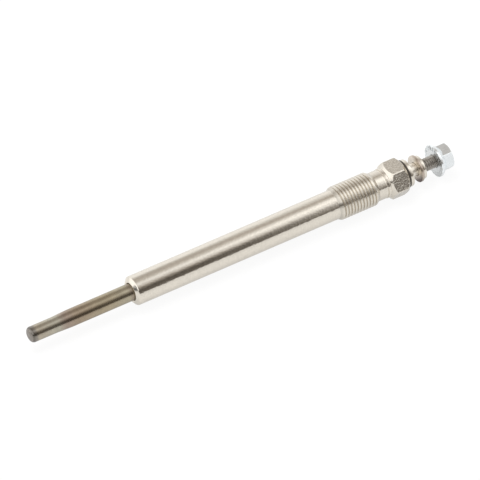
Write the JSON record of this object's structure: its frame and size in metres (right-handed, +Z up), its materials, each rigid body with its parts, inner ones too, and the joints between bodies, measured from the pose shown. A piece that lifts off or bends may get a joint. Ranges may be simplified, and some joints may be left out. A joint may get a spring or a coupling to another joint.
{
  "type": "diesel glow plug",
  "caption": "Slim glow plug for a diesel engine: heated tube with coils inside, long plated body with thread and hexagon, and a threaded terminal with washers and a toothed flange nut.",
  "frame": {"origin": "under the middle of the plug's length, on the surface it lies on", "axes": "+X along the plug's axis from the heated tip to the terminal, +Z up with one flat of the body's hexagon facing down"},
  "size_m": [0.1378, 0.0114, 0.01],
  "materials": {
    "heat_tinted_alloy": "satin alloy, brown and olive heat tint",
    "coil_wire": "drawn wire",
    "packed_powder": "compacted, chalky",
    "black_rubber": "moulded, matt",
    "stud_steel": "turned steel with a darker rolled thread",
    "nickel_plate": "warm bright nickel over fine turning marks",
    "black_insulator": "moulded, near-black brown",
    "washer_steel": "plated, a little tarnished",
    "zinc_plate": "bright bluish zinc"
  },
  "bodies": {
    "root": {"glow_tube": "heat_tinted_alloy", "heating_coil": "coil_wire", "control_coil": "coil_wire", "filling_powder": "packed_powder", "tube_seal": "black_rubber", "terminal_stud": "stud_steel", "plug_body": "nickel_plate", "ring_seal": "black_rubber", "insulating_washer": "black_insulator", "round_nut": "nickel_plate", "flat_washer": "washer_steel", "spring_washer": "washer_steel", "flange_nut": "zinc_plate"}
  },
  "joints": []
}
